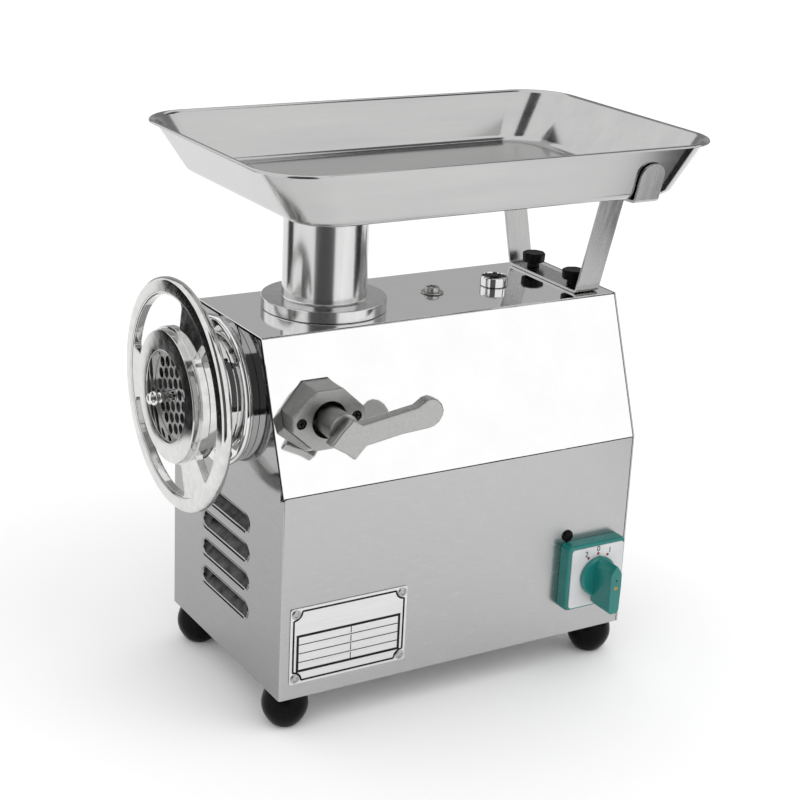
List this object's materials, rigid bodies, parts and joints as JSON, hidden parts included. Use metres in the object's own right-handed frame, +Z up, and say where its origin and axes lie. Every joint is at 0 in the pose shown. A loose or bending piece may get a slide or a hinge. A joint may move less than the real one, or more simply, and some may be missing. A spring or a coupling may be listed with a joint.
{
  "type": "electric meat grinder",
  "caption": "Bench-top electric meat grinder: sheet-steel body with a geared motor, screw head with a hand-wheel ring nut, feed tube, loading tray, clamp lever and rotary switch.",
  "frame": {"origin": "middle of the overall box, on the plane the feet stand on", "axes": "+Z up; the grinding head faces -Y; the clamp lever, nameplate and switch are on the +X side"},
  "size_m": [0.2943, 0.4866, 0.4955],
  "materials": {
    "brushed_stainless": "brushed stainless sheet, soft streaks",
    "polished_stainless": "mirror-polished stainless",
    "satin_panel": "satin stainless sheet",
    "cast_aluminium": "cast and tumbled, fine grain",
    "steel": "machined steel",
    "cast_iron": "painted casting",
    "motor_paint": "grey enamel",
    "stator_core": "laminations and varnished copper winding",
    "black_rubber": "moulded rubber",
    "black_plastic": "moulded black plastic",
    "teal_plastic": "moulded teal plastic, slight gloss",
    "dial_face": "silver-white printed dial",
    "nameplate_face": "etched plate with a black frame and blank rows"
  },
  "bodies": {
    "body": {"barrel": "polished_stainless", "base_plate": "satin_panel", "boss_screw_front": "black_plastic", "boss_screw_rear": "black_plastic", "cable_gland": "black_plastic", "capacitor": "black_plastic", "clamp_boss": "cast_aluminium", "contact_block": "black_plastic", "dial_plate": "dial_face", "flange_screw_lower": "black_plastic", "flange_screw_upper": "black_plastic", "foot_front_left": "black_rubber", "foot_front_right": "black_rubber", "foot_rear_left": "black_rubber", "foot_rear_right": "black_rubber", "front_panel": "satin_panel", "gearbox_case": "cast_iron", "gearbox_cover": "cast_iron", "head_seat": "cast_aluminium", "layshaft_bearing_front": "steel", "layshaft_bearing_rear": "steel", "left_side_panel": "satin_panel", "motor_bearing_front": "steel", "motor_bearing_rear": "steel", "motor_cradle": "steel", "motor_front_shield": "motor_paint", "motor_housing": "motor_paint", "motor_rear_shield": "motor_paint", "nameplate": "nameplate_face", "output_bearing_front": "steel", "output_bearing_rear": "steel", "perforated_plate": "steel", "rear_panel": "satin_panel", "right_side_panel": "satin_panel", "stator": "stator_core", "switch_body": "teal_plastic", "top_screw": "polished_stainless", "tray_bracket": "brushed_stainless", "upper_cover": "polished_stainless"},
    "wheel": {"ring_nut": "polished_stainless"},
    "feed": {"feed_screw": "steel", "knife": "steel", "centre_pin": "polished_stainless", "output_shaft": "steel", "output_gear": "steel"},
    "layshaft": {"layshaft_pinion": "steel", "intermediate_gear": "steel"},
    "rotor": {"rotor": "steel", "motor_pinion": "steel", "motor_fan": "black_plastic"},
    "tube": {"feed_tube": "brushed_stainless"},
    "pan": {"tray": "brushed_stainless", "tray_collar": "brushed_stainless"},
    "clamp": {"clamp_lever": "cast_aluminium", "clamp_stud": "steel"},
    "switch": {"switch_knob": "teal_plastic"},
    "knob_right": {"thumb_knob_right": "black_plastic"},
    "knob_left": {"thumb_knob_left": "black_plastic"},
    "filler": {"oil_filler_cap": "polished_stainless"}
  },
  "joints": [
    {"name": "rotor_spin", "type": "hinge", "parent": "body", "child": "rotor", "pos_m": [-0.0065, 0.02015, 0.1515], "axis": [0, 1, 0], "continuous": true},
    {"name": "layshaft_spin", "type": "hinge", "parent": "body", "child": "layshaft", "pos_m": [-0.0065, 0.02015, 0.2115], "axis": [0, 1, 0], "continuous": true},
    {"name": "screw_spin", "type": "hinge", "parent": "body", "child": "feed", "pos_m": [-0.0065, -0.07885, 0.2815], "axis": [0, 1, 0], "continuous": true},
    {"name": "ring_nut_turn", "type": "hinge", "parent": "body", "child": "wheel", "pos_m": [-0.0065, -0.21685, 0.2815], "axis": [0, -1, 0], "range_deg": [0, 900]},
    {"name": "tube_lift", "type": "slide", "parent": "body", "child": "tube", "axis": [0, 0, 1], "range_m": [0, 0.12]},
    {"name": "tray_lift", "type": "slide", "parent": "tube", "child": "pan", "axis": [0, 0, 1], "range_m": [0, 0.15]},
    {"name": "clamp_turn", "type": "hinge", "parent": "body", "child": "clamp", "pos_m": [0.09856, -0.12785, 0.2815], "axis": [1, 0, 0], "range_deg": [0, 180]},
    {"name": "switch_turn", "type": "hinge", "parent": "body", "child": "switch", "pos_m": [0.1177, 0.14795, 0.095], "axis": [1, 0, 0], "range_deg": [-30, 30]},
    {"name": "knob_right_turn", "type": "hinge", "parent": "body", "child": "knob_right", "pos_m": [0.0255, 0.16365, 0.344], "axis": [0, 0, 1], "range_deg": [0, 900]},
    {"name": "knob_left_turn", "type": "hinge", "parent": "body", "child": "knob_left", "pos_m": [-0.0385, 0.16365, 0.344], "axis": [0, 0, 1], "range_deg": [0, 900]},
    {"name": "filler_turn", "type": "hinge", "parent": "body", "child": "filler", "pos_m": [-0.0065, 0.09765, 0.344], "axis": [0, 0, 1], "range_deg": [0, 900]}
  ],
  "couplings": [
    {"joint": "layshaft_spin", "follows": "rotor_spin", "ratio": -0.33333},
    {"joint": "screw_spin", "follows": "rotor_spin", "ratio": 0.12195}
  ]
}
